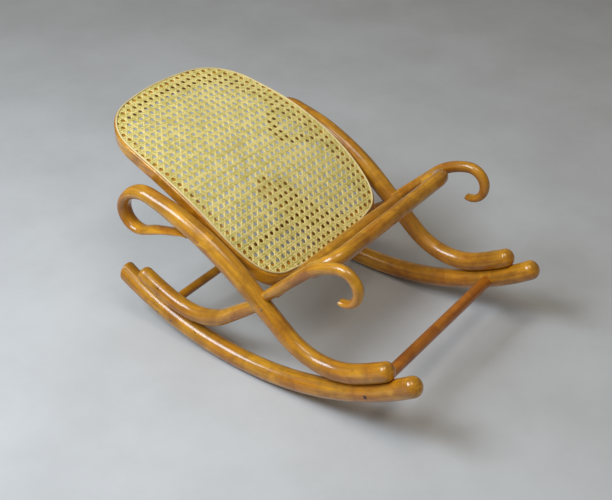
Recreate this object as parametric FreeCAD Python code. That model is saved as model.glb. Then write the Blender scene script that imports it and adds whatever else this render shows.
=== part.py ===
import FreeCAD, Part
import os
from math import atan, cos, degrees, pi, radians, sin, sqrt

os.makedirs("parts", exist_ok=True)

V = FreeCAD.Vector

# Rocking footstool of bent, turned wood with a caned seat. Millimetres, +Z up.
# The origin is on the floor, midway between the rockers, where they touch it.
# -Y is the front, where the arms end in hooks; the two sides mirror each other in X.

# Rockers: round rods bent to one arc.
SIDE_X = 150.0            # from the middle plane to the axis of each rocker
ROCKER_R = 13.5           # radius of the rod
ROCKER_ARC = 415.5        # radius of the bend, to the rod's axis
ARC_TOP = ROCKER_ARC + ROCKER_R
REAR_ANGLE = 31.2         # where the rear end stands on the arc, degrees
FRONT_ANGLE = 38.4        # where the front end stands on the arc, degrees
BALANCE = 1.53            # turn from the drawn position to the one where it rests, degrees
REAR_SLANT = 24.0         # how far the rear end is cut out of square, degrees

# Side scrolls: they lie on the rocker at the front, cross, carry the seat, and curl at the rear.
SCROLL_START = 34.3       # angle of the front end on the arc, degrees
SCROLL_SEAT = 390.0       # radius of the part that lies on the rocker
SCROLL_SPREAD = 0.02      # sideways lean of the scroll per millimetre towards the rear

# Rear legs: they lie on the rocker's rear end and rise to the scroll.
LEG_R = 11.5
LEG_START = 28.3
LEG_LEAVE = 19.0

# Front arms: round rods that rise from the scroll and end in a hook.
ARM_R = 7.8

# Cross bow between the arms.
BOW_R = 10.0
BOW_X = SIDE_X - ARM_R - BOW_R - 0.2
BOW_Y, BOW_Z = -121.8, 213.0
BOW_SLOPE = 38.0          # fall of the bow's two legs towards the rear, degrees
BOW_LEG = 46.0
BOW_CORNER = 26.0

# Straight rods: the rail thins a little towards its ends.
RAIL_R, RAIL_END_R = 9.5, 6.5
RAIL_Y, RAIL_Z = -42.3, 140.2
FRONT_DOWEL_R, FRONT_DOWEL_ANGLE = 8.0, -27.5
REAR_DOWEL_R, REAR_DOWEL_ANGLE = 6.2, 19.0

# Seat ring: a narrow hoop, straight and steep at the front, eased over towards the rear.
RING_T = 19.0             # thickness of the hoop
RING_W = 12.0             # from the edge of the cane inwards to the hoop's inner edge
RING_MARGIN = 3.4         # bare wood outside the cane
RING_ROUND = 5.0          # rounding of the hoop's two lower edges
RING_BREAK = 2.5          # rounding of its outer edge above
RING_STEEP = 36.0         # slope of the front part, degrees
RING_EASY = 15.5          # slope of the rear part, degrees
RING_BEND = 420.0         # radius between the two
RING_Y, RING_Z = 41.7, 184.5   # top face where the bend starts
SEAT_FRONT = -30.0        # front edge of the cane in plan, then its arcs: radius, turn in degrees
SEAT_ARCS = [(621, 8.76), (44.5, 61.64), (141, 18.0), (840, 11.06), (77.2, 69.03), (331, 11.51)]
CANE_T = 2.0
CORD_W, CORD_T = 3.0, 3.0


def on_arc(radius, angle):
    """Point (y, z) at this radius about the rocker's centre; the angle grows to the rear."""
    a = radians(angle)
    return radius * sin(a), ARC_TOP - radius * cos(a)


def save(name, shape):
    """Write one node, turned about the rockers' centre to the angle where the stool balances."""
    shape = shape.copy()
    shape.rotate(V(0, 0, ARC_TOP), V(1, 0, 0), -BALANCE)
    shape.exportStep("parts/" + name + ".step")


def mirrored(shape):
    return shape.mirror(V(0, 0, 0), V(1, 0, 0))


def track(start, heading, moves):
    """A planar path of lines and tangent arcs: each piece is (length, y, z, heading, curvature)."""
    y, z = start
    pieces = []
    for radius, amount in moves:
        if radius == 0:
            pieces.append((amount, y, z, heading, 0.0))
            y += amount * cos(radians(heading))
            z += amount * sin(radians(heading))
        else:
            length = radius * radians(abs(amount))
            bend = 1.0 / radius if amount > 0 else -1.0 / radius
            pieces.append((length, y, z, heading, bend))
            turned = heading + amount
            y += (sin(radians(turned)) - sin(radians(heading))) / bend
            z -= (cos(radians(turned)) - cos(radians(heading))) / bend
            heading = turned
    return pieces


def along(pieces, s):
    """Point (y, z) and heading in radians at distance s along a track."""
    for number, (length, y, z, heading, bend) in enumerate(pieces):
        if s <= length or number == len(pieces) - 1:
            h = radians(heading)
            if bend == 0:
                return y + s * cos(h), z + s * sin(h), h
            t = h + s * bend
            return y + (sin(t) - sin(h)) / bend, z - (cos(t) - cos(h)) / bend, t
        s -= length


def blend(stations, s):
    """Height and width half-sizes at s, eased between stations (s, height, width)."""
    before = stations[0]
    for after in stations[1:]:
        if s <= after[0]:
            t = (s - before[0]) / (after[0] - before[0])
            t = t * t * (3 - 2 * t)
            return tuple(before[i] + (after[i] - before[i]) * t for i in (1, 2))
        before = after
    return before[1], before[2]


def bent_rod(pieces, stations, x):
    """Sweep oval sections along a track; stations are (distance, half height, half width)."""
    edges = []
    reach = 0.0
    for length, _, _, _, bend in pieces:
        a, m, b = [V(x, *along(pieces, reach + length * part)[:2]) for part in (0, 0.5, 1)]
        edges.append(Part.Arc(a, m, b).toShape() if bend else Part.makeLine(a, b))
        reach += length
    count = int(reach / 18)
    wires = []
    for i in range(count + 1):
        s = reach * i / count
        y, z, h = along(pieces, s)
        high, wide = blend(stations, s)
        side = V(x + max(wide, high + 0.001), y, z)
        top = V(x, y - sin(h) * high, z + cos(h) * high)
        wires.append(Part.Wire(Part.Ellipse(side, top, V(x, y, z)).toShape()))
    return Part.Wire(edges).makePipeShell(wires, True, False)


def round_end(shape, pieces, radius):
    """Round off the start of a rod."""
    _, y, z, _, _ = pieces[0]
    rims = [e for e in shape.Edges if e.Closed and (e.CenterOfMass - V(e.CenterOfMass.x, y, z)).Length < 1]
    return shape.makeFillet(radius, rims)


def dome(centre, side, radius, depth):
    """A nail or screw head: a short plug along X whose outer rim is rounded over."""
    proud = radius * 0.35
    plug = Part.makeCylinder(radius, depth + proud, centre - V(side * depth, 0, 0), V(side, 0, 0))
    rim = [e for e in plug.Edges if e.Closed and abs(e.CenterOfMass.x - centre.x - side * proud) < 0.01]
    return plug.makeFillet(radius * 0.6, rim)


# Rocker: the arc, a rounded front end and a slanted rear end with its edge broken.
def make_rocker():
    pieces = track(on_arc(ROCKER_ARC, -FRONT_ANGLE), -FRONT_ANGLE, [
        (ROCKER_ARC, FRONT_ANGLE + REAR_ANGLE + 3),
    ])
    rod = bent_rod(pieces, [(0, ROCKER_R, ROCKER_R), (600, ROCKER_R, ROCKER_R)], SIDE_X)
    y, z = on_arc(ROCKER_ARC, REAR_ANGLE)
    block = Part.makeBox(60, 60, 80, V(-30, 0, -40))
    block.rotate(V(0, 0, 0), V(1, 0, 0), REAR_ANGLE - REAR_SLANT)
    block.translate(V(SIDE_X, y, z))
    rod = rod.cut(block)
    rod = round_end(rod, pieces, ROCKER_R * 0.82)
    rear = [e for e in rod.Edges if e.Closed and e.BoundBox.YMin > y - 30]
    return rod.makeFillet(2.5, rear)


# The scroll's path, front to rear: on the rocker, up through the crossing, over, and round.
SCROLL_TRACK = track(on_arc(SCROLL_SEAT, -SCROLL_START), -SCROLL_START, [
    (SCROLL_SEAT, 8.3),
    (98.0, 66.0),
    (0, 78.0),
    (380.0, -26.4),
    (40.0, -76.0),
    (25.7, -138.0),
    (0, 13.5),
    (282.0, 13.4),
])

# Distance along the scroll, then its half height and half width there.
SCROLL_SECTIONS = [
    (0, 13.0, 13.0),
    (60, 13.0, 13.0),
    (130, 12.0, 12.0),
    (190, 12.2, 12.2),
    (300, 13.7, 13.7),
    (360, 13.2, 13.2),
    (425, 9.8, 12.0),
    (475, 7.6, 11.5),
    (540, 5.8, 10.5),
    (617, 2.4, 8.0),
]

# The arm's path: straight up from the scroll, over the top, round the hook, and its tip.
ARM_TRACK = track((-28.2, 131.2), 135.6, [(0, 91.0), (91.6, 35.0), (23.3, 132.5), (19.9, 72.0)])
ARM_SECTIONS = [
    (0, 7.0, 7.0),
    (30, 7.6, 7.6),
    (100, 7.9, 7.9),
    (160, 7.4, 7.4),
    (195, 6.6, 6.8),
    (222, 4.2, 6.4),
    (232, 1.8, 5.6),
]

# The rear leg's path: along the rocker's top, away from it, and straight to the scroll.
LEG_SEAT = ROCKER_ARC - ROCKER_R - LEG_R - 0.1
LEG_TRACK = track(on_arc(LEG_SEAT, LEG_START), 180 + LEG_START, [
    (LEG_SEAT, LEG_LEAVE - LEG_START),
    (99.0, -LEG_LEAVE - 37.5),
    (0, 71.0),
])
LEG_SECTIONS = [(0, LEG_R, LEG_R), (125, LEG_R, LEG_R), (175, 9.9, 9.9), (232, 8.6, 8.6)]

rocker = make_rocker()
scroll = bent_rod(SCROLL_TRACK, SCROLL_SECTIONS, SIDE_X)
scroll = round_end(scroll, SCROLL_TRACK, 9.5)
scroll.rotate(V(SIDE_X, SCROLL_TRACK[0][1], 0), V(0, 0, 1), -degrees(atan(SCROLL_SPREAD)))
arm = bent_rod(ARM_TRACK, ARM_SECTIONS, SIDE_X)
leg = bent_rod(LEG_TRACK, LEG_SECTIONS, SIDE_X)
leg = round_end(leg, LEG_TRACK, 8.5)

# The scroll's front end is hollowed to sit on the rocker; arm and leg are coped to the scroll.
scroll = scroll.cut(rocker)
arm = arm.cut(scroll)
leg = leg.cut(scroll)


def largest(shape):
    return max(shape.Solids, key=lambda solid: solid.Volume)


scroll, arm, leg = largest(scroll), largest(arm), largest(leg)

# Dowels across the frame: the front one is let into the rockers, the rear one into the legs.
dowel_y, dowel_z = on_arc(ROCKER_ARC, FRONT_DOWEL_ANGLE)
half = SIDE_X - 8
front_dowel = Part.makeCylinder(FRONT_DOWEL_R, 2 * half, V(-half, dowel_y, dowel_z), V(1, 0, 0))
rocker = rocker.cut(front_dowel)
leg_y, leg_z = on_arc(LEG_SEAT, REAR_DOWEL_ANGLE)
rear_dowel = Part.makeCylinder(REAR_DOWEL_R, 2 * half, V(-half, leg_y, leg_z), V(1, 0, 0))
leg = leg.cut(rear_dowel)


# The front rail runs between the arms, just ahead of the seat ring, and is coped to them.
def make_rail():
    reach = SIDE_X - 6.5
    ends = [V(-reach, RAIL_Y, RAIL_Z + RAIL_END_R), V(reach, RAIL_Y, RAIL_Z + RAIL_END_R)]
    axis = [V(reach, RAIL_Y, RAIL_Z), V(-reach, RAIL_Y, RAIL_Z)]
    side = Part.Arc(ends[0], V(0, RAIL_Y, RAIL_Z + RAIL_R), ends[1]).toShape()
    loop = [side, Part.makeLine(ends[1], axis[0])]
    loop += [Part.makeLine(axis[0], axis[1]), Part.makeLine(axis[1], ends[0])]
    return Part.Face(Part.Wire(loop)).revolve(axis[0], V(1, 0, 0), 360)


rail = make_rail()
rail = largest(rail.cut(arm).cut(mirrored(arm)).cut(scroll).cut(mirrored(scroll)))


# Cross bow: one rod bent twice; its legs lie against the inner sides of the arms.
def make_bow():
    fall = V(0, cos(radians(BOW_SLOPE)), -sin(radians(BOW_SLOPE)))
    front = V(0, BOW_Y, BOW_Z)
    k = BOW_CORNER
    q = k * (1 - cos(pi / 4))
    corner = V(-BOW_X, 0, 0) + front
    first = Part.makeLine(corner + fall * BOW_LEG, corner + fall * k)
    turn = Part.Arc(corner + fall * k, corner + fall * q + V(q, 0, 0), corner + V(k, 0, 0)).toShape()
    bar = Part.makeLine(corner + V(k, 0, 0), V(BOW_X - k, 0, 0) + front)
    corner = V(BOW_X, 0, 0) + front
    back = Part.Arc(corner - V(k, 0, 0), corner + fall * q - V(q, 0, 0), corner + fall * k).toShape()
    last = Part.makeLine(corner + fall * k, corner + fall * BOW_LEG)
    spine = Part.Wire([first, turn, bar, back, last])
    start = V(-BOW_X, 0, 0) + front + fall * BOW_LEG
    profile = Part.Wire(Part.makeCircle(BOW_R, start, fall))
    bow = spine.makePipeShell([profile], True, True)
    ends = [e for e in bow.Edges if e.Closed and e.BoundBox.YMin > BOW_Y + 30]
    return bow.makeFillet(BOW_R * 0.7, ends)


bow = make_bow()


# Seat ring and cane: plan outlines cut through a strip that follows the bend of the seat.
def outline(offset):
    """Closed plan outline of the cane's edge, moved outward by an offset, as a face."""
    edges = []
    x, y, heading = 0.0, SEAT_FRONT - offset, 0.0
    for radius, turn in SEAT_ARCS:
        r = radius + offset
        cx, cy = x - r * sin(radians(heading)), y + r * cos(radians(heading))
        ends = []
        for part in (0, 0.5, 1):
            a = radians(heading + turn * part)
            ends.append(V(cx + r * sin(a), cy - r * cos(a), 0))
        if radius == SEAT_ARCS[-1][0]:
            ends[2].x = 0
        edges.append(Part.Arc(*ends).toShape())
        edges.append(Part.Arc(*[V(-p.x, p.y, 0) for p in reversed(ends)]).toShape())
        x, y, heading = ends[2].x, ends[2].y, heading + turn
    return Part.Face(Part.Wire(Part.sortEdges(edges)[0]))


def strip(low, high):
    """A bent slab the width of the seat, between two heights above the ring's top face."""
    steep, easy = radians(RING_STEEP), radians(RING_EASY)
    y0, z0 = RING_Y, RING_Z
    cy, cz = y0 + RING_BEND * sin(steep), z0 - RING_BEND * cos(steep)
    sides = []
    for rise in (low, high):
        r = RING_BEND + rise
        a = V(-170, cy - r * sin(steep), cz + r * cos(steep))
        m = V(-170, cy - r * sin((steep + easy) / 2), cz + r * cos((steep + easy) / 2))
        b = V(-170, cy - r * sin(easy), cz + r * cos(easy))
        front = a - V(0, cos(steep), sin(steep)) * 120
        rear = b + V(0, cos(easy), sin(easy)) * 150
        sides.append((front, a, m, b, rear))
    (f0, a0, m0, b0, r0), (f1, a1, m1, b1, r1) = sides
    edges = [
        Part.makeLine(f0, a0),
        Part.Arc(a0, m0, b0).toShape(),
        Part.makeLine(b0, r0),
        Part.makeLine(r0, r1),
        Part.makeLine(r1, b1),
        Part.Arc(b1, m1, a1).toShape(),
        Part.makeLine(a1, f1),
        Part.makeLine(f1, f0),
    ]
    return Part.Face(Part.Wire(edges)).extrude(V(340, 0, 0))


def column(offset):
    """The plan outline as a tall block."""
    return outline(offset).extrude(V(0, 0, 400))


def rounded_hoop(hoop):
    """Round the hoop's lower edges, and its outer edge above."""
    top = strip(-0.1, 1)
    core = column(RING_MARGIN - 0.1)
    below, above = [], []
    for edge in hoop.Edges:
        middle = Part.Vertex(edge.valueAt((edge.FirstParameter + edge.LastParameter) / 2))
        depth = middle.distToShape(top)[0]
        if depth > RING_T - 3:
            below.append(edge)
        elif depth < 0.01 and middle.distToShape(core)[0] > 0.05:
            above.append(edge)
    return hoop.makeFillet(RING_ROUND, below).makeFillet(RING_BREAK, above)


ring = rounded_hoop(strip(-RING_T, 0).common(column(RING_MARGIN)).cut(column(-RING_W)))
panel = strip(0.05, CANE_T).common(column(-CORD_W / 2 - 0.1))
binding = strip(0.05, CORD_T).common(column(CORD_W / 2)).cut(column(-CORD_W / 2))

# Screw plugs where the front dowel meets the rockers, and nails in the rockers at the legs.
plugs = []
for angle, radius, drop in ((FRONT_DOWEL_ANGLE, 3.0, 0.0), (20.9, 2.0, 1.5), (17.6, 2.0, -1.5)):
    y, z = on_arc(ROCKER_ARC + drop, angle)
    sag = ROCKER_R - sqrt(ROCKER_R ** 2 - drop ** 2 - radius ** 2)
    head = dome(V(SIDE_X + ROCKER_R - sag, y, z), 1, radius, 3.5)
    rocker = rocker.cut(head)
    plugs.append(head)

# A nail beside each arm's foot, driven through the scroll from outside.
nail_y, nail_z, _ = along(SCROLL_TRACK, 209.0)
nail_x = SIDE_X + SCROLL_SPREAD * (nail_y - SCROLL_TRACK[0][1]) + 10.7
nail = dome(V(nail_x, nail_y, nail_z + 6.0), 1, 2.2, 5.0)
scroll = scroll.cut(nail)

# A screw through each leg of the bow into the arm, with its head on the inner side.
drop = V(0, cos(radians(BOW_SLOPE)), -sin(radians(BOW_SLOPE))) * (BOW_LEG - 12)
screw = dome(V(BOW_X - BOW_R + 0.6, BOW_Y, BOW_Z) + drop, -1, 2.6, 4.0)
bow = bow.cut(screw).cut(mirrored(screw))

for name, shape in (("rocker", rocker), ("rear_leg", leg), ("side_scroll", scroll), ("front_arm", arm)):
    save(name + "_right", shape)
    save(name + "_left", mirrored(shape))

save("cross_bow", bow)
save("front_rail", rail)
save("front_stretcher", front_dowel)
save("rear_stretcher", rear_dowel)
save("seat_ring", ring)
save("cane_panel", panel)
save("cane_binding", binding)
save("stretcher_plugs", Part.makeCompound([plugs[0], mirrored(plugs[0])]))
save("rocker_nails", Part.makeCompound(plugs[1:] + [mirrored(plug) for plug in plugs[1:]]))
save("crossing_nails", Part.makeCompound([nail, mirrored(nail)]))
save("bow_screws", Part.makeCompound([screw, mirrored(screw)]))
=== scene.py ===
"""A bentwood rocking footstool: lacquered rods, a six-way cane seat and its studio.

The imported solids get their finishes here, and the cane is woven strand by strand. Tracks are in
millimetres and degrees, as the stool is drawn; everything else is in metres and radians.
"""

import logging
from dataclasses import dataclass, field
from enum import Enum
from math import cos, pi, radians, sin
from typing import Dict, List, Optional, Sequence, Tuple

import bpy
import numpy as np
from mathutils import Matrix, Vector

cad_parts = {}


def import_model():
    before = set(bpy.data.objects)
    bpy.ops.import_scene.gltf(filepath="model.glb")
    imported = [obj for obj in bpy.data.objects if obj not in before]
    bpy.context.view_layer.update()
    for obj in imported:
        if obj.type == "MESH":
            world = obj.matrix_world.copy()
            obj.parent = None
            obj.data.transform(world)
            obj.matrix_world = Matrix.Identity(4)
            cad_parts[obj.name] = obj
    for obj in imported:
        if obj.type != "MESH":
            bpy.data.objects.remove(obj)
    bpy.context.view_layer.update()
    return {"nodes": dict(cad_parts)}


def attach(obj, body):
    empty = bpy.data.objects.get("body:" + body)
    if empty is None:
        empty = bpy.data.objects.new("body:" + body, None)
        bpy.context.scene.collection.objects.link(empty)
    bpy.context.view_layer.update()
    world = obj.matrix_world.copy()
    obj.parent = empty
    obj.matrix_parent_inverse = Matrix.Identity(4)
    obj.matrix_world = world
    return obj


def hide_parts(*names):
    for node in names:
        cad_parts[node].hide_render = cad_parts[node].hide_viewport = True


LOG = logging.getLogger("footstool")
Point2 = Tuple[float, float]
Colour = Tuple[float, float, float, float]
# A strand's line: a point, a direction, and (place along in pitches, rise) through one repeat.
Strand = Tuple[np.ndarray, np.ndarray, List[Point2]]

# The rockers' bending centre, about which the whole stool is turned to where it balances.
PIVOT_Z = 0.429
BALANCE = radians(1.53)


# --------------------------------------------------------------------------- tracks

@dataclass(frozen=True)
class Run:
    """One line or tangent arc of a bent rod's middle line, in the plane of the bend.

    Args:
        start: where the run begins, in metres.
        heading: direction at the start, in radians.
        reach: length of the run, in metres.
        bend: curvature, positive to the left, zero for a line.
        before: distance along the rod at the run's start.
    """

    start: Point2
    heading: float
    reach: float
    bend: float
    before: float

    def at(self, distance: float) -> Point2:
        """Point at this distance from the run's start."""
        (u, v), h = self.start, self.heading
        if self.bend == 0:
            return u + distance * cos(h), v + distance * sin(h)
        t = h + distance * self.bend
        return u + (sin(t) - sin(h)) / self.bend, v - (cos(t) - cos(h)) / self.bend

    def end(self) -> Point2:
        """Point where the run ends."""
        return self.at(self.reach)


def lay_runs(start: Point2, heading: float, moves: Sequence[Point2]) -> List[Run]:
    """Chain lines and tangent arcs.

    Args:
        start: first point, in millimetres.
        heading: direction at the first point, in degrees.
        moves: (radius in mm, turn in degrees), or (0, length in mm) for a line.

    Returns:
        The runs in metres and radians.
    """
    here, h, before = (start[0] / 1000, start[1] / 1000), radians(heading), 0.0
    runs: List[Run] = []
    for radius, amount in moves:
        if radius == 0:
            run = Run(here, h, amount / 1000, 0.0, before)
        else:
            r, turn = radius / 1000, radians(amount)
            run = Run(here, h, r * abs(turn), (1 if turn > 0 else -1) / r, before)
            h += turn
        runs.append(run)
        here, before = run.end(), before + run.reach
    return runs


def on_arc(radius: float, angle: float) -> Point2:
    """Place a point about the rockers' centre.

    Args:
        radius: distance from the centre, in millimetres.
        angle: angle from straight down, growing to the rear, in degrees.

    Returns:
        The point (y, z) in millimetres.
    """
    return radius * sin(radians(angle)), 1000 * PIVOT_Z - radius * cos(radians(angle))


def to_balance(y: object, z: object) -> Tuple[object, object]:
    """Turn a drawn position about the rockers' centre to where the stool balances.

    Args:
        y: drawn y, a number or an array, in metres.
        z: drawn z, likewise.

    Returns:
        The turned y and z.
    """
    z = z - PIVOT_Z
    return y * cos(BALANCE) + z * sin(BALANCE), PIVOT_Z + z * cos(BALANCE) - y * sin(BALANCE)


class Plane(Enum):
    """The plane a rod is bent in."""

    SIDE = "side"
    PLAN = "plan"


@dataclass(frozen=True)
class BentPath:
    """The path whose bends the grain of a rod follows.

    Args:
        name: plain name of the rod.
        runs: its lines and arcs.
        plane: the plane it is bent in.
        tilt: turn about X that brings the rod's plane level, in radians.
        hub: point (y, z) that the tilt turns about, in metres.
    """

    name: str
    runs: List[Run]
    plane: Plane = Plane.SIDE
    tilt: float = BALANCE
    hub: Point2 = (0.0, PIVOT_Z)


# --------------------------------------------------------------------------- node helpers

class Graph:
    """Short-hand for wiring one node tree."""

    def __init__(self, tree: bpy.types.NodeTree) -> None:
        """Keep the tree that nodes are added to."""
        self.tree = tree
        self.made = 0

    def node(self, kind: str, **settings: object) -> bpy.types.Node:
        """Add a node.

        Args:
            kind: the node's type name.
            settings: attributes to set on it.

        Returns:
            The new node.
        """
        made = self.tree.nodes.new(kind)
        for key, value in settings.items():
            setattr(made, key, value)
        made.location = (200 * (self.made // 6), -220 * (self.made % 6))
        self.made += 1
        return made

    def feed(self, socket: bpy.types.NodeSocket, value: object) -> None:
        """Link a socket into an input, or set the input to a plain value."""
        if isinstance(value, bpy.types.NodeSocket):
            self.tree.links.new(value, socket)
        elif value is not None:
            socket.default_value = value

    def math(
        self, operation: str, a: object, b: object = None, c: object = None, clamp: bool = False
    ) -> object:
        """Add a Math node and return its output."""
        made = self.node("ShaderNodeMath", operation=operation, use_clamp=clamp)
        for socket, value in zip(made.inputs, (a, b, c)):
            self.feed(socket, value)
        return made.outputs[0]

    def vector(self, operation: str, a: object, b: object = None, out: str = "Vector") -> object:
        """Add a Vector Math node and return the output of that name."""
        made = self.node("ShaderNodeVectorMath", operation=operation)
        self.feed(made.inputs[0], a)
        self.feed(made.inputs[1], b)
        return made.outputs[out]

    def scaled(self, vector: object, by: Tuple[float, float, float]) -> object:
        """Multiply a vector by fixed factors."""
        return self.vector("MULTIPLY", vector, by)

    def join(self, x: object, y: object, z: object) -> object:
        """Combine three values into a vector."""
        made = self.node("ShaderNodeCombineXYZ")
        for socket, value in zip(made.inputs, (x, y, z)):
            self.feed(socket, value)
        return made.outputs[0]

    def split(self, vector: object) -> Tuple[object, object, object]:
        """Separate a vector into its three values."""
        made = self.node("ShaderNodeSeparateXYZ")
        self.feed(made.inputs[0], vector)
        return tuple(made.outputs)

    def noise(
        self, vector: object, scale: float, detail: float = 3.0, rough: float = 0.55, warp: float = 0.0
    ) -> object:
        """Add a Noise texture.

        Args:
            vector: where to look it up.
            scale: cells to the metre.
            detail: number of finer layers.
            rough: weight of the finer layers.
            warp: distortion.

        Returns:
            Its value.
        """
        made = self.node("ShaderNodeTexNoise")
        self.feed(made.inputs["Vector"], vector)
        made.inputs["Scale"].default_value = scale
        made.inputs["Detail"].default_value = detail
        made.inputs["Roughness"].default_value = rough
        made.inputs["Distortion"].default_value = warp
        return made.outputs[0]

    def ramp(
        self, value: object, low: float, high: float, to_low: float = 0.0, to_high: float = 1.0
    ) -> object:
        """Map a value smoothly from one range to another and return the result."""
        made = self.node("ShaderNodeMapRange", interpolation_type="SMOOTHSTEP")
        for socket, number in zip(made.inputs, (value, low, high, to_low, to_high)):
            self.feed(socket, number)
        return made.outputs[0]

    def mix(self, amount: object, a: object, b: object, mode: str = "MIX") -> object:
        """Mix two colours and return the result."""
        made = self.node("ShaderNodeMix", data_type="RGBA", blend_type=mode)
        self.feed(made.inputs[0], amount)
        self.feed(made.inputs[6], a)
        self.feed(made.inputs[7], b)
        return made.outputs[2]

    def mix_vector(self, amount: object, a: object, b: object) -> object:
        """Mix two vectors and return the result."""
        made = self.node("ShaderNodeMix", data_type="VECTOR")
        self.feed(made.inputs[0], amount)
        self.feed(made.inputs[4], a)
        self.feed(made.inputs[5], b)
        return made.outputs[1]

    def group(self, tree: bpy.types.NodeTree, **values: object) -> bpy.types.Node:
        """Place a node group and feed its inputs, underscores standing for spaces."""
        made = self.node("ShaderNodeGroup")
        made.node_tree = tree
        for key, value in values.items():
            self.feed(made.inputs[key.replace("_", " ")], value)
        return made


def new_group(
    name: str, inputs: Sequence[Tuple[str, str, object]], outputs: Sequence[Tuple[str, str]]
) -> Tuple[Graph, bpy.types.Node, bpy.types.Node]:
    """Make an empty shader node group.

    Args:
        name: the group's name.
        inputs: (name, kind, default) of each input socket.
        outputs: (name, kind) of each output socket.

    Returns:
        A graph on the group, its input node and its output node.
    """
    tree = bpy.data.node_groups.new(name, "ShaderNodeTree")
    for label, kind, default in inputs:
        socket = tree.interface.new_socket(label, in_out="INPUT", socket_type="NodeSocket" + kind)
        if default is not None:
            socket.default_value = default
    for label, kind in outputs:
        tree.interface.new_socket(label, in_out="OUTPUT", socket_type="NodeSocket" + kind)
    graph = Graph(tree)
    return graph, graph.node("NodeGroupInput"), graph.node("NodeGroupOutput")


# --------------------------------------------------------------------------- effect groups

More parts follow.
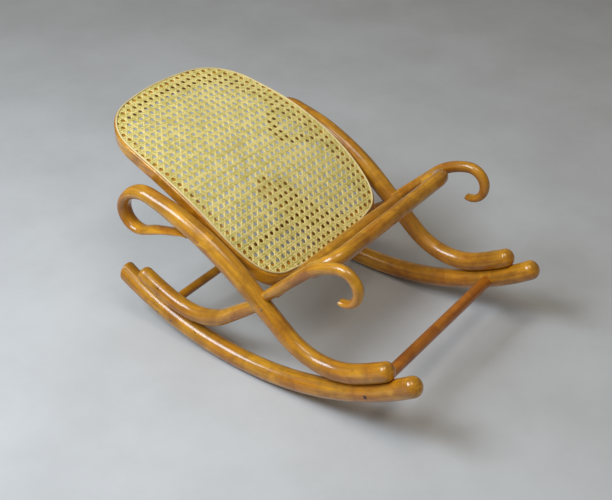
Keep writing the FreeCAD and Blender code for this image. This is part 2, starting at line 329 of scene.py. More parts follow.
class EffectLibrary:
    """Shader node groups that the finishes share, each built once."""

    SIDE_SHIFT = 1.7     # metres of grain between the figure of the two sides
    NO_RUN = 0.05        # a point farther than this from every run takes the first run's start
    PIT_CELLS = 62.0     # cells to the metre that may each hold a pit

    def __init__(self) -> None:
        """Build every group."""
        self.paths: Dict[str, bpy.types.NodeTree] = {}
        self.streaks = self._streaks()
        self.pits = self._pits()
        self.patches_and_top_light = self._patches_and_top_light()
        self.fibres = self._fibres()

    def path(self, path: BentPath) -> bpy.types.NodeTree:
        """Coordinates that follow a bent rod: distance along it, offset in its plane, offset across.

        Args:
            path: the rod's path.

        Returns:
            A group whose output is that vector, in metres.
        """
        if path.name in self.paths:
            return self.paths[path.name]
        g, _, out = new_group(path.name + "_bend", [], [("Along", "Vector")])
        where = g.node("ShaderNodeNewGeometry").outputs["Position"]
        turn = g.node("ShaderNodeVectorRotate", rotation_type="X_AXIS")
        g.feed(turn.inputs["Vector"], where)
        g.feed(turn.inputs["Center"], (0.0, *path.hub))
        g.feed(turn.inputs["Angle"], path.tilt)
        x, y, z = g.split(turn.outputs[0])
        x_size = g.math("ABSOLUTE", x)
        side = g.math("SIGN", x)
        flat = g.join(y, z, 0.0) if path.plane is Plane.SIDE else g.join(x_size, y, 0.0)
        across = x_size if path.plane is Plane.SIDE else z
        best: object = (0.0, 0.0, self.NO_RUN)
        for number, run in enumerate(path.runs):
            found = self._along_run(g, flat, run, number == 0, number == len(path.runs) - 1)
            nearest = g.split(best)[2] if isinstance(best, bpy.types.NodeSocket) else best[2]
            closer = g.math("LESS_THAN", g.split(found)[2], nearest)
            best = g.mix_vector(closer, best, found)
        distance, offset, _ = g.split(best)
        shifted = g.math("MULTIPLY_ADD", side, self.SIDE_SHIFT, distance)
        g.feed(out.inputs[0], g.join(shifted, offset, across))
        self.paths[path.name] = g.tree
        return g.tree

    @staticmethod
    def _along_run(g: Graph, flat: object, run: Run, first: bool, last: bool) -> object:
        """Wire up a place along one run.

        Args:
            g: the graph to wire in.
            flat: the position in the rod's plane.
            run: the run.
            first: whether the rod starts here, so that a point a little before it still counts.
            last: whether the rod ends here, likewise.

        Returns:
            A vector of distance, offset, and the offset's size, which is large outside the run.
        """
        h = run.heading
        ahead, left = (cos(h), sin(h), 0.0), (-sin(h), cos(h), 0.0)
        slack = 0.04
        low, high = -slack if first else 0.0, run.reach + (slack if last else 0.0)
        if run.bend == 0:
            rel = g.vector("SUBTRACT", flat, (*run.start, 0.0))
            distance = g.vector("DOT_PRODUCT", rel, ahead, "Value")
            offset = g.vector("DOT_PRODUCT", rel, left, "Value")
        else:
            radius, sign = 1 / abs(run.bend), 1.0 if run.bend > 0 else -1.0
            out = (-sign * left[0], -sign * left[1], 0.0)
            centre = (run.start[0] - radius * out[0], run.start[1] - radius * out[1], 0.0)
            rel = g.vector("SUBTRACT", flat, centre)
            forward = g.vector("DOT_PRODUCT", rel, ahead, "Value")
            outward = g.vector("DOT_PRODUCT", rel, out, "Value")
            distance = g.math("MULTIPLY", g.math("ARCTAN2", forward, outward), radius)
            offset = g.math("MULTIPLY_ADD", g.vector("LENGTH", rel, None, "Value"), -sign, sign * radius)
        begun = g.math("GREATER_THAN", distance, low)
        inside = g.math("MULTIPLY", begun, g.math("LESS_THAN", distance, high))
        size = g.math("ADD", g.math("ABSOLUTE", offset), g.math("SUBTRACT", 1.0, inside))
        return g.join(g.math("ADD", distance, run.before), offset, size)

    @staticmethod
    def _streaks() -> bpy.types.NodeTree:
        """Long grain figure, short pore flecks and slow tone changes along a rod."""
        g, given, out = new_group(
            "wood_streaks",
            [("Along", "Vector", None), ("Coarseness", "Float", 1.0)],
            [("Figure", "Float"), ("Pores", "Float"), ("Tone", "Float")],
        )
        along = g.vector("SCALE", given.outputs["Along"])
        g.feed(along.node.inputs["Scale"], given.outputs["Coarseness"])
        figure = g.noise(g.scaled(along, (9.0, 190.0, 190.0)), 1.0, 4.0, 0.6, 0.4)
        flecks = g.noise(g.scaled(along, (150.0, 1500.0, 1500.0)), 1.0, 1.0, 0.4)
        tone = g.noise(g.scaled(along, (14.0, 26.0, 26.0)), 1.0, 3.0, 0.55, 0.3)
        g.feed(out.inputs[0], g.ramp(figure, 0.36, 0.64))
        g.feed(out.inputs[1], g.ramp(flecks, 0.62, 0.74))
        g.feed(out.inputs[2], g.ramp(tone, 0.34, 0.66))
        return g.tree

    @classmethod
    def _pits(cls) -> bpy.types.NodeTree:
        """Scattered dark pits and worm holes of a millimetre or so."""
        g, given, out = new_group(
            "wood_pits",
            [("Place", "Vector", None), ("Pit Size", "Float", 0.0011), ("Share", "Float", 0.14)],
            [("Pit", "Float"), ("Stain", "Float")],
        )
        cells = g.node("ShaderNodeTexVoronoi", feature="F1")
        g.feed(cells.inputs["Vector"], given.outputs["Place"])
        cells.inputs["Scale"].default_value = cls.PIT_CELLS
        cells.inputs["Randomness"].default_value = 1.0
        draw, share_of_size, _ = g.split(cells.outputs["Color"])
        picked = g.math("LESS_THAN", draw, given.outputs["Share"])
        real = g.math("DIVIDE", cells.outputs["Distance"], cls.PIT_CELLS)
        size = g.math("MULTIPLY", given.outputs["Pit Size"], g.ramp(share_of_size, 0.0, 1.0, 0.45, 1.0))
        stained = g.math("MULTIPLY", size, 3.0)
        near = g.math("SUBTRACT", 1.0, g.math("DIVIDE", real, size), clamp=True)
        halo = g.math("SUBTRACT", 1.0, g.math("DIVIDE", real, stained), clamp=True)
        g.feed(out.inputs[0], g.math("MULTIPLY", g.ramp(near, 0.0, 0.45), picked))
        g.feed(out.inputs[1], g.math("MULTIPLY", halo, picked))
        return g.tree

    @staticmethod
    def _patches_and_top_light() -> bpy.types.NodeTree:
        """Uneven lacquer and painted light: broad patches, upward faces painted lighter (partly rubbed
        wear, partly painted top light) and a faint skin on the gloss.
        """
        g, given, out = new_group(
            "lacquer_patches_and_top_light",
            [("Place", "Vector", None)],
            [("Patches", "Float"), ("Worn Lit Tops", "Float"), ("Skin", "Float")],
        )
        place = given.outputs["Place"]
        up = g.split(g.node("ShaderNodeNewGeometry").outputs["Normal"])[2]
        patches = g.noise(place, 38.0, 3.0, 0.6, 0.6)
        # Painted top light, partly rubbed wear: faces that look up are painted lighter, broken up by
        # noise.
        worn_lit_tops = g.math("MULTIPLY", g.ramp(up, -0.35, 0.95), g.ramp(g.noise(place, 21.0, 2.0), 0.3, 0.62))
        g.feed(out.inputs[0], g.ramp(patches, 0.36, 0.66))
        g.feed(out.inputs[1], worn_lit_tops)
        g.feed(out.inputs[2], g.noise(place, 420.0, 3.0, 0.6))
        return g.tree

    @staticmethod
    def _fibres() -> bpy.types.NodeTree:
        """Tone and fine length-wise fibres of split cane, by a strand's own number."""
        g, given, out = new_group(
            "cane_fibres",
            [("Place", "Vector", None), ("Strand", "Float", 0.0)],
            [("Strand Tone", "Float"), ("Dust", "Float"), ("Fibre", "Float")],
        )
        place = given.outputs["Place"]
        offset = g.join(0.0, 0.0, g.math("MULTIPLY", given.outputs["Strand"], 3.0))
        moved = g.vector("ADD", place, offset)
        own = g.math("MULTIPLY", given.outputs["Strand"], 0.55)
        tone = g.math("MULTIPLY_ADD", g.noise(moved, 55.0, 2.0, 0.5), 0.45, own)
        g.feed(out.inputs[0], g.ramp(tone, 0.22, 0.78))
        g.feed(out.inputs[1], g.ramp(g.noise(place, 26.0, 4.0, 0.6), 0.46, 0.7))
        g.feed(out.inputs[2], g.noise(moved, 900.0, 2.0, 0.5))
        return g.tree


# --------------------------------------------------------------------------- finishes

def new_material(name: str) -> Tuple[bpy.types.Material, Graph, bpy.types.Node]:
    """Make an empty material with a Principled shader.

    Args:
        name: the material's name.

    Returns:
        The material, a graph on its tree and the shader node.
    """
    made = bpy.data.materials.new(name)
    made.use_nodes = True
    made.node_tree.nodes.clear()
    g = Graph(made.node_tree)
    shader = g.node("ShaderNodeBsdfPrincipled")
    g.feed(g.node("ShaderNodeOutputMaterial").inputs[0], shader.outputs[0])
    return made, g, shader


def bump(g: Graph, height: object, strength: float, distance: float, under: object = None) -> object:
    """Add a Bump node.

    Args:
        g: the graph to wire in.
        height: the height, from 0 to 1.
        strength: share of the bump that shows.
        distance: depth of a height of 1, in metres.
        under: a normal to bump on top of.

    Returns:
        The bumped normal.
    """
    made = g.node("ShaderNodeBump")
    made.inputs["Strength"].default_value = strength
    made.inputs["Distance"].default_value = distance
    g.feed(made.inputs["Height"], height)
    g.feed(made.inputs["Normal"], under)
    return made.outputs[0]


@dataclass(frozen=True)
class LacquerFinish:
    """Clear amber lacquer over bent beech.

    Args:
        name: finish name.
        honey: colour of the light figure, and of the painted top light.
        amber: colour of the usual tone.
        umber: colour of the dark patches.
        gloss: roughness of the lacquer where it is clean.
        pit_share: share of cells that hold a pit.
        worn_lit_tops: share of honey on upward faces, partly rubbed wear and partly painted top light.
        figure: share of umber in the grain's dark bands.
        patches: share of umber in the broad patches.
        pores: share of umber in the pore flecks.
        stain: share of umber round a pit.
    """

    name: str
    honey: Colour = (0.76, 0.36, 0.018, 1.0)
    amber: Colour = (0.50, 0.175, 0.005, 1.0)
    umber: Colour = (0.11, 0.022, 0.002, 1.0)
    gloss: float = 0.16
    pit_share: float = 0.16
    worn_lit_tops: float = 0.45
    figure: float = 0.34
    patches: float = 0.36
    pores: float = 0.35
    stain: float = 0.55

    def make(self, effects: EffectLibrary, path: BentPath) -> bpy.types.Material:
        """Build the material for a rod that follows this path.

        Args:
            effects: the shared groups.
            path: the rod's path.

        Returns:
            The material.
        """
        made, g, shader = new_material(self.name + "_" + path.name)
        place = g.node("ShaderNodeNewGeometry").outputs["Position"]
        along = g.group(effects.path(path)).outputs[0]
        wood = g.group(effects.streaks, Along=along)
        pits = g.group(effects.pits, Place=place, Share=self.pit_share)
        patches_and_top_light = g.group(effects.patches_and_top_light, Place=place)
        base = g.mix(wood.outputs["Tone"], self.amber, self.honey)
        # Painted top light, partly rubbed wear: upward faces turn towards honey.
        base = g.mix(g.math("MULTIPLY", patches_and_top_light.outputs["Worn Lit Tops"], self.worn_lit_tops), base, self.honey)
        base = g.mix(g.math("MULTIPLY", wood.outputs["Figure"], self.figure), base, self.umber)
        base = g.mix(g.math("MULTIPLY", patches_and_top_light.outputs["Patches"], self.patches), base, self.umber)
        base = g.mix(g.math("MULTIPLY", wood.outputs["Pores"], self.pores), base, self.umber)
        dark = tuple(0.12 * part for part in self.umber[:3]) + (1.0,)
        base = g.mix(g.math("MULTIPLY", pits.outputs["Stain"], self.stain), base, self.umber)
        base = g.mix(pits.outputs["Pit"], base, dark)
        g.feed(shader.inputs["Base Color"], base)
        rough = g.math("MULTIPLY_ADD", patches_and_top_light.outputs["Patches"], 0.12, self.gloss + 0.22)
        g.feed(shader.inputs["Roughness"], rough)
        shader.inputs["Specular IOR Level"].default_value = 0.2
        shader.inputs["Coat Weight"].default_value = 1.0
        shader.inputs["Coat IOR"].default_value = 1.5
        shader.inputs["Coat Roughness"].default_value = self.gloss
        relief = bump(g, patches_and_top_light.outputs["Skin"], 0.12, 0.0003)
        relief = bump(g, wood.outputs["Figure"], 0.1, 0.0003, relief)
        relief = bump(g, g.math("SUBTRACT", 1.0, pits.outputs["Pit"]), 0.8, 0.0006, relief)
        g.feed(shader.inputs["Normal"], relief)
        return made


@dataclass(frozen=True)
class CaneFinish:
    """Split cane, from olive skin to straw.

    Args:
        name: finish name.
        straw: colour of the bright strands.
        olive: colour of the duller strands.
        shade: colour of dust and grime.
        gloss: roughness of the skin.
        fibres: share of olive in the fine fibres.
        dust: share of dust where it has gathered.
    """

    name: str
    straw: Colour = (0.93, 0.77, 0.30, 1.0)
    olive: Colour = (0.62, 0.51, 0.13, 1.0)
    shade: Colour = (0.26, 0.19, 0.06, 1.0)
    gloss: float = 0.42
    fibres: float = 0.22
    dust: float = 0.16

    def make(self, effects: EffectLibrary) -> bpy.types.Material:
        """Build the material from the shared groups."""
        made, g, shader = new_material(self.name)
        place = g.node("ShaderNodeNewGeometry").outputs["Position"]
        strand = g.node("ShaderNodeAttribute", attribute_name="strand").outputs["Fac"]
        fibre = g.group(effects.fibres, Place=place, Strand=strand)
        base = g.mix(fibre.outputs["Strand Tone"], self.olive, self.straw)
        base = g.mix(g.math("MULTIPLY", fibre.outputs["Fibre"], self.fibres), base, self.olive)
        base = g.mix(g.math("MULTIPLY", fibre.outputs["Dust"], self.dust), base, self.shade)
        g.feed(shader.inputs["Base Color"], base)
        rough = g.math("MULTIPLY_ADD", fibre.outputs["Fibre"], 0.2, self.gloss - 0.1)
        g.feed(shader.inputs["Roughness"], rough)
        g.feed(shader.inputs["Normal"], bump(g, fibre.outputs["Fibre"], 0.25, 0.0002))
        return made


@dataclass(frozen=True)
class PlugFinish:
    """Darkened end-grain plug let into a rocker.

    Args:
        name: finish name.
        grain: colour of the wood.
        rim: colour of its grime.
    """

    name: str
    grain: Colour = (0.085, 0.032, 0.014, 1.0)
    rim: Colour = (0.02, 0.009, 0.005, 1.0)

    def make(self, effects: EffectLibrary) -> bpy.types.Material:
        """Build the material from the shared groups."""
        made, g, shader = new_material(self.name)
        place = g.node("ShaderNodeNewGeometry").outputs["Position"]
        patches_and_top_light = g.group(effects.patches_and_top_light, Place=g.scaled(place, (9.0, 9.0, 9.0)))
        g.feed(shader.inputs["Base Color"], g.mix(patches_and_top_light.outputs["Patches"], self.grain, self.rim))
        g.feed(shader.inputs["Roughness"], g.math("MULTIPLY_ADD", patches_and_top_light.outputs["Skin"], 0.3, 0.25))
        g.feed(shader.inputs["Normal"], bump(g, patches_and_top_light.outputs["Skin"], 0.4, 0.0003))
        return made


@dataclass(frozen=True)
class SteelFinish:
    """Old steel of nail and screw heads, browned with rust.

    Args:
        name: finish name.
        steel: colour of bare metal.
        rust: colour of the rust.
    """

    name: str
    steel: Colour = (0.30, 0.27, 0.24, 1.0)
    rust: Colour = (0.10, 0.035, 0.012, 1.0)

    def make(self, effects: EffectLibrary) -> bpy.types.Material:
        """Build the material from the shared groups."""
        made, g, shader = new_material(self.name)
        place = g.node("ShaderNodeNewGeometry").outputs["Position"]
        patches_and_top_light = g.group(effects.patches_and_top_light, Place=g.scaled(place, (12.0, 12.0, 12.0)))
        rusted = g.math("MULTIPLY", patches_and_top_light.outputs["Patches"], 0.85)
        g.feed(shader.inputs["Base Color"], g.mix(rusted, self.steel, self.rust))
        g.feed(shader.inputs["Metallic"], g.math("SUBTRACT", 1.0, rusted))
        g.feed(shader.inputs["Roughness"], g.math("MULTIPLY_ADD", rusted, 0.35, 0.3))
        g.feed(shader.inputs["Normal"], bump(g, patches_and_top_light.outputs["Skin"], 0.3, 0.0002))
        return made


@dataclass(frozen=True)
class FloorFinish:
    """Plain pale floor with a barely uneven tone.

    Args:
        name: finish name.
        pale: its lighter tone.
        grey: its darker tone.
    """

    name: str
    pale: Colour = (0.60, 0.61, 0.62, 1.0)
    grey: Colour = (0.54, 0.545, 0.55, 1.0)

    def make(self) -> bpy.types.Material:
        """Build the material."""
        made, g, shader = new_material(self.name)
        place = g.node("ShaderNodeNewGeometry").outputs["Position"]
        uneven = g.ramp(g.noise(place, 5.0, 5.0, 0.6), 0.3, 0.7)
        g.feed(shader.inputs["Base Color"], g.mix(uneven, self.pale, self.grey))
        shader.inputs["Roughness"].default_value = 0.75
        shader.inputs["Specular IOR Level"].default_value = 0.25
        return made


# --------------------------------------------------------------------------- dressing

def dress(node: bpy.types.Object, material: bpy.types.Material) -> None:
    """Give a carried-over solid its finish.

    Args:
        node: the solid's object.
        material: its material.
    """
    if not node.material_slots:
        node.data.materials.append(material)
    for place in node.material_slots:
        place.material = material
    LOG.info("dressed %s with %s", node.name, material.name)


@dataclass
class SideFrames:
    """Rockers, rear legs, scrolls and front arms, a mirrored pair of each.

    Args:
        effects: the shared groups.
        finish: the finish of all eight.
        rocker: path of a rocker's middle line, as are the next three of the other rods.
    """

    effects: EffectLibrary
    finish: LacquerFinish
    rocker: List[Run] = field(default_factory=lambda: lay_runs(on_arc(415.5, -38.4), -38.4, [
        (415.5, 72.6)]))
    scroll: List[Run] = field(default_factory=lambda: lay_runs(on_arc(390.0, -34.3), -34.3, [
        (390, 8.3), (98, 66), (0, 78), (380, -26.4), (40, -76), (25.7, -138), (0, 13.5), (282, 13.4)]))
    arm: List[Run] = field(default_factory=lambda: lay_runs((-28.2, 131.2), 135.6, [
        (0, 91), (91.6, 35), (23.3, 132.5), (19.9, 72)]))
    leg: List[Run] = field(default_factory=lambda: lay_runs(on_arc(390.4, 28.3), 208.3, [
        (390.4, -9.3), (99, -56.5), (0, 71)]))

    def dress(self, nodes: Dict[str, bpy.types.Object]) -> None:
        """Finish the eight rods, each with grain that follows its own bends."""
        rods = {
            "rocker": self.rocker,
            "side_scroll": self.scroll,
            "front_arm": self.arm,
            "rear_leg": self.leg,
        }
        for name, runs in rods.items():
            material = self.finish.make(self.effects, BentPath(name, runs))
            for side in ("left", "right"):
                dress(nodes[name + "_" + side], material)


@dataclass
class CrossRods:
    """Bow, rail and dowels that join the two sides.

    Args:
        effects: the shared groups.
        finish: finish of the bow, the rail and the rear dowel.
        stained: finish of the front dowel.
        bow_width: from the middle plane to the bow's corner, in millimetres.
        bow_corner: radius of its two bends.
        bow_leg: length of its legs, from the corner.
        bow_slope: fall of its legs, in degrees.
        bow_front: its bar (y, z) as drawn, in millimetres.
        straight_y: where each straight rod stands, in metres.
    """

    effects: EffectLibrary
    finish: LacquerFinish
    stained: LacquerFinish
    bow_width: float = 132.0
    bow_corner: float = 26.0
    bow_leg: float = 46.0
    bow_slope: float = 38.0
    bow_front: Point2 = (-121.8, 213.0)
    straight_y: Tuple[Tuple[str, float], ...] = (
        ("front_rail", -0.050),
        ("front_stretcher", -0.193),
        ("rear_stretcher", 0.104),
    )

    def dress(self, nodes: Dict[str, bpy.types.Object]) -> None:
        """Finish the bow, the rail and the two dowels."""
        straight = lay_runs((0.0, 0.0), 0.0, [(0, 160)])
        bow = lay_runs((0.0, self.bow_front[0]), 0.0, [
            (0, self.bow_width - self.bow_corner), (self.bow_corner, 90), (0, self.bow_leg)])
        hub = (self.bow_front[0] / 1000, self.bow_front[1] / 1000)
        turned = to_balance(*hub)
        runs = self.moved(bow, turned[0] - hub[0])
        tilt = BALANCE + radians(self.bow_slope)
        paths = [BentPath("cross_bow", runs, Plane.PLAN, tilt, turned)]
        for name, y in self.straight_y:
            paths.append(BentPath(name, self.moved(straight, y), Plane.PLAN, 0.0))
        for path in paths:
            dark = path.name == "front_stretcher"
            material = (self.stained if dark else self.finish).make(self.effects, path)
            dress(nodes[path.name], material)

    @staticmethod
    def moved(runs: List[Run], by: float) -> List[Run]:
        """The same runs set further along Y, in metres."""
        return [Run((r.start[0], r.start[1] + by), r.heading, r.reach, r.bend, r.before) for r in runs]


# --------------------------------------------------------------------------- seat

@dataclass(frozen=True)
class SeatSurface:
    """Top face of the seat ring: straight and steep, then a bend, then straight and easy.

    Args:
        steep: slope of the front part, in radians.
        easy: slope of the rear part, in radians.
        bend: radius between the two, in metres.
        start: where the bend starts (y, z), in metres.
        front: front edge of the cane in plan.
        arcs: (radius in mm, turn in degrees) of half the cane's edge, from the front.
    """

    steep: float = radians(36.0)
    easy: float = radians(15.5)
    bend: float = 0.42
    start: Point2 = (0.0417, 0.1845)
    front: float = -0.030
    arcs: Tuple[Point2, ...] = (
        (621, 8.76), (44.5, 61.64), (141, 18.0), (840, 11.06), (77.2, 69.03), (331, 11.51))

    def reach(self, y: np.ndarray) -> np.ndarray:
        """Distance along the face, from the bend's start, above plan position y."""
        cy = self.start[0] + self.bend * sin(self.steep)
        last = self.bend * (self.steep - self.easy)
        y_end = cy - self.bend * sin(self.easy)
        inside = np.clip((cy - y) / self.bend, sin(self.easy), sin(self.steep))
        middle = self.bend * (self.steep - np.arcsin(inside))
        before = (y - self.start[0]) / cos(self.steep)
        after = last + (y - y_end) / cos(self.easy)
        return np.where(y < self.start[0], before, np.where(y > y_end, after, middle))

    def place(self, x: np.ndarray, t: np.ndarray, h: np.ndarray) -> np.ndarray:
        """Points in the stool's frame.

        Args:
            x: across the seat.
            t: along the face.
            h: above the face.

        Returns:
            An array with one more axis, of x, y and z.
        """
        last = self.bend * (self.steep - self.easy)
        angle = self.steep - np.clip(t, 0.0, last) / self.bend
        spare = np.where(t < 0.0, t, np.where(t > last, t - last, 0.0))
        cy = self.start[0] + self.bend * sin(self.steep)
        cz = self.start[1] - self.bend * cos(self.steep)
        y = cy - (self.bend + h) * np.sin(angle) + spare * np.cos(angle)
        z = cz + (self.bend + h) * np.cos(angle) + spare * np.sin(angle)
        y, z = to_balance(y, z)
        return np.stack([np.broadcast_to(x, y.shape), y, z], axis=-1)

    def edge(self, steps: int) -> np.ndarray:
        """Closed outline of the cane as (x, t), counter-clockwise, with this many steps to an arc."""
        points: List[Point2] = []
        x, y, heading = 0.0, self.front, 0.0
        for radius, turn in self.arcs:
            r, swing = radius / 1000, radians(turn)
            cx, cy = x - r * sin(heading), y + r * cos(heading)
            for k in range(1, steps + 1):
                a = heading + swing * k / steps
                points.append((cx + r * sin(a), cy - r * cos(a)))
            (x, y), heading = points[-1], heading + swing
        half = np.array(points[:-1])
        rear = np.array([[0.0, points[-1][1]]])
        whole = np.vstack([[[0.0, self.front]], half, rear, half[::-1] * [-1, 1]])
        whole[:, 1] = self.reach(whole[:, 1])
        return whole


class StrandSet(Enum):
    """The four courses of a six-way weave."""

    LENGTHWISE = "cane_lengthwise"
    CROSSWISE = "cane_crosswise"
    RIGHT_SLANT = "cane_right_slant"
    LEFT_SLANT = "cane_left_slant"


@dataclass
class CaneSeat:
    """Woven panel and its binding.

    Args:
        effects: the shared groups.
        surface: the face that the cane lies on.
        pitch: spacing of the pairs, in metres.
        split: from the middle of a pair to each of its strands.
        pair_half: half width of a paired strand.
        slant_half: half width of a slanting strand.
        thick: thickness of a strand.
        lift: height of the weave's middle above the ring.
        sway: rise and fall of a strand from the middle.
        drift: most that a strand strays from its place.
        binder_half: half width of the binding.
        binder_high: height of the binding's crown.
        seed: seed of the strands' tones and drifts.
        rows: strands of a course to try on either side of the middle.
    """

    effects: EffectLibrary
    surface: SeatSurface = SeatSurface()
    pitch: float = 0.0111
    split: float = 0.0016
    pair_half: float = 0.00128
    slant_half: float = 0.00138
    thick: float = 0.00062
    lift: float = 0.00098
    sway: float = 0.00033
    drift: float = 0.00012
    binder_half: float = 0.0014
    binder_high: float = 0.0025
    seed: int = 48
    rows: int = 48

    def make(self) -> None:
        """Weave the four courses and lay the binding."""
        cane = CaneFinish("woven_cane").make(self.effects)
        pale = CaneFinish(
            "binding_cane",
            straw=(0.86, 0.70, 0.36, 1.0),
            olive=(0.62, 0.46, 0.16, 1.0),
            shade=(0.30, 0.18, 0.06, 1.0),
            gloss=0.34,
        )
        edge = self.surface.edge(14)
        rng = np.random.default_rng(self.seed)
        for course in StrandSet:
            piece = self._course(course, edge, rng)
            piece.data.materials.append(cane)
            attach(piece, "root")
            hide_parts("cane_panel")
            LOG.info("wove %s: %d faces", piece.name, len(piece.data.polygons))
        binder = self._binder(edge)
        binder.data.materials.append(pale.make(self.effects))
        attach(binder, "root")
        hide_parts("cane_binding")
        LOG.info("laid %s: %d faces", binder.name, len(binder.data.polygons))

    @staticmethod
    def _clip(point: np.ndarray, way: np.ndarray, edge: np.ndarray) -> Optional[Point2]:
        """Cut a line to the convex outline.

        Args:
            point: a point (x, t) on the line.
            way: its direction.
            edge: the closed outline.

        Returns:
            The distances at which it enters and leaves, or None if less than 6 mm is inside.
        """
        low, high = -9.0, 9.0
        along = np.roll(edge, -1, axis=0) - edge
        inward = np.stack([-along[:, 1], along[:, 0]], axis=1)
        gap = np.einsum("ij,ij->i", inward, point - edge)
        rate = inward @ way
        for distance, speed in zip(gap, rate):
            if abs(speed) < 1e-12:
                if distance < 0:
                    return None
            elif speed > 0:
                low = max(low, -distance / speed)
            else:
                high = min(high, -distance / speed)
        return (low, high) if high - low > 0.006 else None

    def _lines(self, course: StrandSet, rng: np.random.Generator) -> List[Strand]:
        """List every strand of a course."""
        p, q = self.pitch, self.split / self.pitch
        lines: List[Strand] = []
        for n in range(-self.rows, self.rows + 1):
            drift = rng.uniform(-self.drift, self.drift, 2)
            if course in (StrandSet.LENGTHWISE, StrandSet.CROSSWISE):
                for k, side in enumerate((-1, 1)):
                    over = side if course is StrandSet.LENGTHWISE else -side
                    beats = [(-q, over), (q, -over), (0.5 - q, over), (0.5 + q, -over)]
                    shift = n * p + side * self.split + drift[k]
                    if course is StrandSet.LENGTHWISE:
                        lines.append((np.array([shift, 0.0]), np.array([0.0, 1.0]), beats))
                    else:
                        lines.append((np.array([0.0, shift]), np.array([1.0, 0.0]), beats))
            else:
                lean = 1.0 if course is StrandSet.RIGHT_SLANT else -1.0
                beats = [(-q, lean), (q, lean), (0.5 - q, -lean), (0.5 + q, -lean)]
                lines.append((np.array([0.0, (n + 0.5) * p + drift[0]]), np.array([1.0, lean]), beats))
        return lines

    def _course(self, course: StrandSet, edge: np.ndarray, rng: np.random.Generator) -> bpy.types.Object:
        """Build one course of strands as a mesh, each strand flat below and crowned above."""
        half = self.pair_half if course in (StrandSet.LENGTHWISE, StrandSet.CROSSWISE) else self.slant_half
        u = half * np.array([-1.0, -0.86, -0.42, 0.42, 0.86, 1.0])
        v = self.thick * np.array([-0.5, 0.12, 0.44, 0.44, 0.12, -0.5])
        rings: List[np.ndarray] = []
        tones: List[float] = []
        for point, way, beats in self._lines(course, rng):
            span = self._clip(point, way, edge)
            tone = float(rng.random())
            if span is None:
                continue
            places, rises = self._stations(span, beats)
            side = np.array([way[1], -way[0]]) / np.hypot(*way)
            x = point[0] + places * way[0]
            t = point[1] + places * way[1]
            h = self.lift + self.sway * rises
            rings.append(self.surface.place(
                x[:, None] + side[0] * u, t[:, None] + side[1] * u, h[:, None] + v))
            tones.append(tone)
        return sweep_mesh(course.value, rings, tones, False)

    def _stations(self, span: Point2, beats: List[Point2]) -> Tuple[np.ndarray, np.ndarray]:
        """Lay out the places along a strand where it rises and falls.

        Args:
            span: where the strand starts and ends.
            beats: (place along in pitches, rise) through one repeat.

        Returns:
            The places and the rise at each, fading to none at the two ends.
        """
        trim, fade = 0.0006, 0.003
        p = self.pitch
        marks: List[Point2] = []
        for n in range(int(span[0] / p) - 2, int(span[1] / p) + 3):
            marks += [((n + at) * p, rise) for at, rise in beats]
        at = np.array([m[0] for m in marks])
        rise = np.array([m[1] for m in marks], float)
        between = (at[1:] + at[:-1]) / 2
        places = np.sort(np.concatenate([at, between]))
        places = places[(places > span[0] + trim) & (places < span[1] - trim)]
        places = np.concatenate([[span[0]], places, [span[1]]])
        rises = np.interp(places, at, rise)
        away = np.minimum(places - span[0], span[1] - places)
        return places, rises * np.clip(away / fade, 0.0, 1.0)

    def _binder(self, edge: np.ndarray) -> bpy.types.Object:
        """Build the round-topped cord that covers the ends of the strands."""
        foot, shoulder = 0.0001, 0.0008
        ahead = np.roll(edge, -1, axis=0) - np.roll(edge, 1, axis=0)
        ahead /= np.linalg.norm(ahead, axis=1)[:, None]
        out = np.stack([ahead[:, 1], -ahead[:, 0]], axis=1)
        turn = np.linspace(0.0, pi, 9)
        u = np.concatenate([-np.cos(turn), [0.8, -0.8]]) * self.binder_half
        v = np.concatenate([shoulder + (self.binder_high - shoulder) * np.sin(turn), [foot, foot]])
        x, t = edge[:, :1] + out[:, :1] * u, edge[:, 1:] + out[:, 1:] * u
        ring = self.surface.place(x, t, np.broadcast_to(v, x.shape))
        return sweep_mesh("binding_cord", [ring], [0.6], True)


def sweep_mesh(
    name: str, strands: Sequence[np.ndarray], tones: Sequence[float], closed: bool
) -> bpy.types.Object:
    """Skin rows of section points into closed strands.

    Args:
        name: the piece's name.
        strands: one array of sections by points by 3 for each strand.
        tones: a number from 0 to 1 for each strand, kept on its points.
        closed: whether each strand runs back to its own start.

    Returns:
        The new object.
    """
    points: List[np.ndarray] = []
    faces: List[Tuple[int, ...]] = []
    marks: List[np.ndarray] = []
    start = 0
    for rows, tone in zip(strands, tones):
        count, k = rows.shape[:2]
        points.append(rows.reshape(-1, 3))
        marks.append(np.full(count * k, tone))
        for i in range(count if closed else count - 1):
            a, b = start + i * k, start + ((i + 1) % count) * k
            faces += [(a + j, a + (j + 1) % k, b + (j + 1) % k, b + j) for j in range(k)]
        if not closed:
            faces.append(tuple(start + j for j in reversed(range(k))))
            faces.append(tuple(start + (count - 1) * k + j for j in range(k)))
        start += count * k
    mesh = bpy.data.meshes.new(name)
    mesh.from_pydata(np.concatenate(points).tolist(), [], faces)
    mesh.attributes.new("strand", "FLOAT", "POINT").data.foreach_set("value", np.concatenate(marks))
    mesh.shade_smooth()
    mesh.validate()
    made = bpy.data.objects.new(name, mesh)
    bpy.context.scene.collection.objects.link(made)
    return made


@dataclass
class SeatRing:
    """The bent hoop that carries the cane."""

    effects: EffectLibrary
    finish: LacquerFinish
    surface: SeatSurface = SeatSurface()

    def dress(self, nodes: Dict[str, bpy.types.Object]) -> None:
        """Finish the hoop, with grain that runs round it."""
        runs = lay_runs((0.0, 1000 * self.surface.front), 0.0, self.surface.arcs)
        path = BentPath("seat_ring", runs, Plane.PLAN)
        dress(nodes["seat_ring"], self.finish.make(self.effects, path))


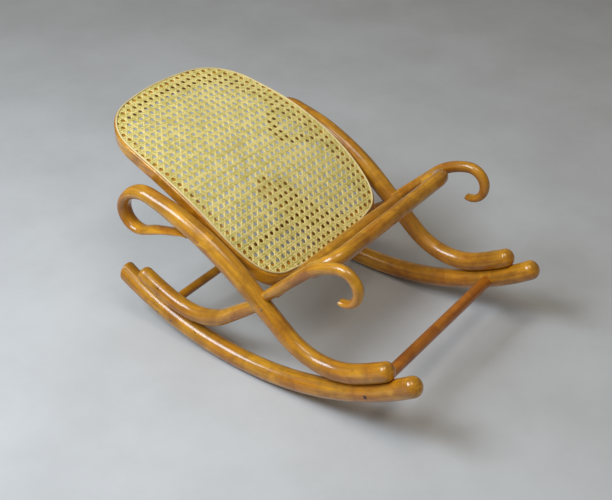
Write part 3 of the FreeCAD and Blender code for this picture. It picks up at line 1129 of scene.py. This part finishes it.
@dataclass
class Fixings:
    """Plugs, nails and screws."""

    effects: EffectLibrary

    def dress(self, nodes: Dict[str, bpy.types.Object]) -> None:
        """Finish every small fixing."""
        dress(nodes["stretcher_plugs"], PlugFinish("dark_plug").make(self.effects))
        steel = SteelFinish("nail_steel").make(self.effects)
        for name in ("rocker_nails", "crossing_nails", "bow_screws"):
            dress(nodes[name], steel)


# --------------------------------------------------------------------------- studio

@dataclass(frozen=True)
class SoftLight:
    """One rectangular studio light.

    Args:
        name: its name.
        place: where it hangs.
        aim: the point it faces.
        size: its width and height.
        power: its power in watts.
        colour: its colour.
    """

    name: str
    place: Tuple[float, float, float]
    aim: Tuple[float, float, float]
    size: Point2
    power: float
    colour: Tuple[float, float, float]

    def hang(self) -> None:
        """Add the light to the scene."""
        lamp = bpy.data.lights.new(self.name, "AREA")
        lamp.shape = "RECTANGLE"
        lamp.size, lamp.size_y = self.size
        lamp.energy, lamp.color = self.power, self.colour
        made = bpy.data.objects.new(self.name, lamp)
        made.location = self.place
        facing = Vector(self.aim) - Vector(self.place)
        made.rotation_euler = facing.to_track_quat("-Z", "Y").to_euler()
        bpy.context.scene.collection.objects.link(made)


@dataclass
class Studio:
    """Floor, lights and camera.

    Args:
        lens: focal length of the camera, in millimetres.
        azimuth: direction the camera looks along, in radians from +Y.
        elevation: height of the camera above the level, in radians.
        distance: from the camera to its target, in metres.
        target: the point it faces, as the stool is drawn.
        room: colour of the light from all round.
        room_strength: strength of that light.
        floor_reach: half width of the floor.
        lights: the lights.
    """

    lens: float = 67.06
    azimuth: float = radians(-53.68)
    elevation: float = radians(33.67)
    distance: float = 1.566
    target: Tuple[float, float, float] = (0.0, 0.0165, 0.1047)
    room: Colour = (1.0, 0.92, 0.80, 1.0)
    room_strength: float = 0.18
    floor_reach: float = 9.0
    lights: Tuple[SoftLight, ...] = (
        SoftLight("window", (-0.95, 0.52, 1.30), (-0.1, 0.05, 0.0), (0.9, 0.6), 23.0, (0.82, 0.91, 1.0)),
        SoftLight("ceiling", (-0.42, -0.40, 1.9), (0.0, 0.0, 0.1), (0.7, 0.7), 8.0, (1.0, 0.93, 0.82)),
    )

    def make_camera(self) -> None:
        """Stand the camera, turned with the stool, and make it the scene's own."""
        data = bpy.data.cameras.new("camera")
        data.lens, data.sensor_width = self.lens, 36.0
        data.clip_start, data.clip_end = 0.05, 50.0
        made = bpy.data.objects.new("camera", data)
        a, e = self.azimuth, self.elevation
        back = Vector((sin(a) * cos(e), -cos(a) * cos(e), sin(e)))
        right = Vector((cos(a), sin(a), 0.0))
        facing = Matrix((right, back.cross(right), back)).transposed().to_4x4()
        drawn = Matrix.Translation(Vector(self.target) + back * self.distance) @ facing
        hub = Matrix.Translation((0.0, 0.0, PIVOT_Z))
        made.matrix_world = hub @ Matrix.Rotation(-BALANCE, 4, "X") @ hub.inverted() @ drawn
        bpy.context.scene.collection.objects.link(made)
        bpy.context.scene.camera = made

    def make_floor(self) -> None:
        """Lay the floor and hang the lights."""
        mesh = bpy.data.meshes.new("floor")
        r = self.floor_reach
        mesh.from_pydata([(-r, -r, 0), (r, -r, 0), (r, r, 0), (-r, r, 0)], [], [(0, 1, 2, 3)])
        floor = bpy.data.objects.new("floor", mesh)
        mesh.materials.append(FloorFinish("studio_floor").make())
        bpy.context.scene.collection.objects.link(floor)
        for light in self.lights:
            light.hang()
        world = bpy.data.worlds.new("room")
        world.use_nodes = True
        glow = world.node_tree.nodes["Background"]
        glow.inputs[0].default_value = self.room
        glow.inputs[1].default_value = self.room_strength
        bpy.context.scene.world = world
        bpy.context.scene.view_settings.view_transform = "Standard"


def main() -> None:
    """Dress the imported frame, weave the seat and light the stool."""
    logging.basicConfig(level=logging.INFO, format="%(name)s: %(message)s")
    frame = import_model()
    nodes = frame["nodes"]
    studio = Studio()
    studio.make_camera()
    effects = EffectLibrary()
    lacquer = LacquerFinish("lacquered_beech")
    stained = LacquerFinish(
        "stained_beech",
        honey=(0.64, 0.22, 0.012, 1.0),
        amber=(0.48, 0.14, 0.006, 1.0),
        umber=(0.16, 0.035, 0.003, 1.0),
        gloss=0.3,
        pit_share=0.03,
    )
    SideFrames(effects, lacquer).dress(nodes)
    CrossRods(effects, lacquer, stained).dress(nodes)
    SeatRing(effects, lacquer).dress(nodes)
    CaneSeat(effects).make()
    Fixings(effects).dress(nodes)
    studio.make_floor()


if __name__ == "__main__":
    main()
